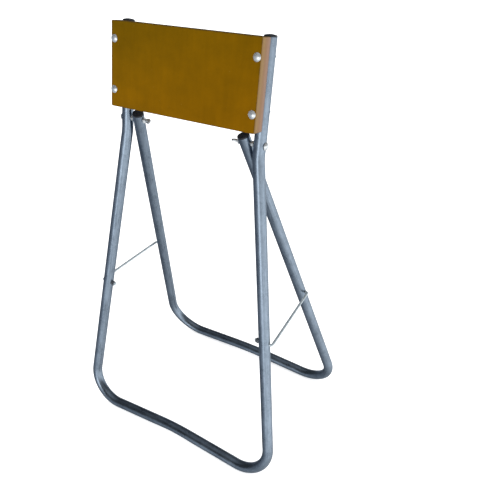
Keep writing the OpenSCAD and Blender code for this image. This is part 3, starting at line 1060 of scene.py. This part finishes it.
for side, sign in SIDES.items():
    form = stay_form(sign, x_reach("stay_" + side)[0])
    gather("stay_rod_" + side, "stay_" + side, [(form, stay_plane)], stay_material)
    hole_r = stay_r + easy_room
    node = "stay_washer_" + side
    ring_piece("stay_flat_washer_" + side, node, sign, washer_r, hole_r, stay_pin, nut_material)
    node = "stay_nut_" + side
    near, far = x_reach(node)
    nut = hex_form(nut_flat, stay_r, far - near)
    gather("stay_hex_nut_" + side, node, [(nut, along_x(sign, far, stay_pin))], nut_material)

# ---------------------------------------------------------------- floor, light and camera


def back_vector(azimuth, elevation):
    """The direction from what is looked at towards a place at an azimuth and elevation."""
    a, e = math.radians(azimuth), math.radians(elevation)
    return Vector((math.sin(a) * math.cos(e), -math.cos(a) * math.cos(e), math.sin(e)))


FLOOR_HALF, FLOOR_COLOUR, FLOOR_GLOW = 16.0, (0.92, 0.92, 0.92), 0.42
# What the metal reflects brightens towards the front right, and is darkest a little above level.
# Each stop is a place from 0, against the direction, to 1, along it
LIGHT_SIDE = back_vector(84, 0)
SIDE_STOPS = [
    (0.0, (0.14, 0.16, 0.20)), (0.33, (0.42, 0.46, 0.52)),
    (0.55, (0.78, 0.83, 0.89)), (0.75, (1.12, 1.16, 1.20)), (1.0, (1.70, 1.73, 1.76)),
]
HEIGHT_STOPS = [
    (0.0, 0.58), (0.12, 0.64), (0.25, 0.84), (0.40, 0.98),
    (0.5, 0.74), (0.62, 0.11), (0.85, 0.12), (1.0, 0.5),
]
# A soft bright patch in front of the stand, a little to the left of the camera
SOFTBOX = Vector((0.12, -0.99, -0.08)).normalized()
SOFTBOX_STOPS = [(0.0, 0.0), (0.960, 0.0), (0.985, 0.7), (0.997, 2.2), (1.0, 2.4)]
DIFFUSE_SKY = (1.04, 1.05, 1.06)
KEY_POWER, KEY_FROM, KEY_SPREAD = 0.9, (0.35, -0.55, 1.0), 60

VIEW_AZIMUTH, VIEW_ELEVATION, VIEW_ROLL = 32.54, 29.92, -0.15
VIEW_DISTANCE = 1.388
VIEW_AIM = Vector((0.0457, 0.0193, 0.4755))
VIEW_SENSOR, VIEW_LENS = 36.0, 43.45
VIEW_SHIFT = (0.0171, -0.0103)


def linked(name, data):
    """A new object that holds the data, in the scene."""
    obj = bpy.data.objects.new(name, data)
    bpy.context.scene.collection.objects.link(obj)
    return obj


def floor():
    mesh = bpy.data.meshes.new("floor")
    corners = [(-1, -1), (1, -1), (1, 1), (-1, 1)]
    mesh.from_pydata([(x * FLOOR_HALF, y * FLOOR_HALF, 0) for x, y in corners], [], [(0, 1, 2, 3)])
    obj = linked("floor", mesh)
    n = Nodes("pale_floor")
    n.shader.inputs["Base Color"].default_value = colour(FLOOR_COLOUR)
    n.shader.inputs["Roughness"].default_value = 0.9
    n.shader.inputs["Specular IOR Level"].default_value = 0.0
    n.shader.inputs["Emission Color"].default_value = (1, 1, 1, 1)
    n.shader.inputs["Emission Strength"].default_value = FLOOR_GLOW
    mesh.materials.append(n.material)
    obj.visible_glossy = False


def key_light():
    """A wide soft sun, which metal doesn't reflect."""
    data = bpy.data.lights.new("key", "SUN")
    data.energy = KEY_POWER
    data.angle = math.radians(KEY_SPREAD)
    obj = linked("key", data)
    obj.rotation_euler = Vector(KEY_FROM).to_track_quat("Z", "Y").to_euler()
    obj.visible_glossy = False


def studio_world():
    """A studio's surroundings: plain light for matt surfaces, and darks and lights for metal to reflect."""
    world = bpy.data.worlds.new("studio")
    bpy.context.scene.world = world
    world.use_nodes = True
    world.node_tree.nodes.clear()
    g = Graph(world.node_tree)
    around = g.node("TexCoord").outputs["Generated"]

    def shades(direction, stops):
        return g.ramp(g.span(g.dot(around, direction), -1.0, 1.0), stops)

    seen = g.mix(1.0, shades(LIGHT_SIDE, SIDE_STOPS), shades((0, 0, 1), HEIGHT_STOPS), "MULTIPLY")
    seen = g.mix(1.0, seen, shades(SOFTBOX, SOFTBOX_STOPS), "ADD")
    is_glossy = g.node("LightPath").outputs["Is Glossy Ray"]
    background = g.node("Background")
    g.link(g.mix(is_glossy, DIFFUSE_SKY, seen), background.inputs["Color"])
    g.link(background.outputs[0], g.node("OutputWorld").inputs["Surface"])


def camera():
    data = bpy.data.cameras.new("camera")
    data.sensor_fit = "HORIZONTAL"
    data.sensor_width = VIEW_SENSOR
    data.lens = VIEW_LENS
    data.shift_x, data.shift_y = VIEW_SHIFT
    data.clip_end = 60.0
    obj = linked("camera", data)
    back = back_vector(VIEW_AZIMUTH, VIEW_ELEVATION)
    a = math.radians(VIEW_AZIMUTH)
    right = Vector((math.cos(a), math.sin(a), 0))
    basis = Matrix((right, back.cross(right), back)).transposed().to_4x4()
    roll = Matrix.Rotation(math.radians(VIEW_ROLL), 4, "Z")
    obj.matrix_world = Matrix.Translation(VIEW_AIM + back * VIEW_DISTANCE) @ basis @ roll
    bpy.context.scene.camera = obj


bpy.context.scene.view_settings.view_transform = "Standard"
floor()
studio_world()
key_light()
camera()
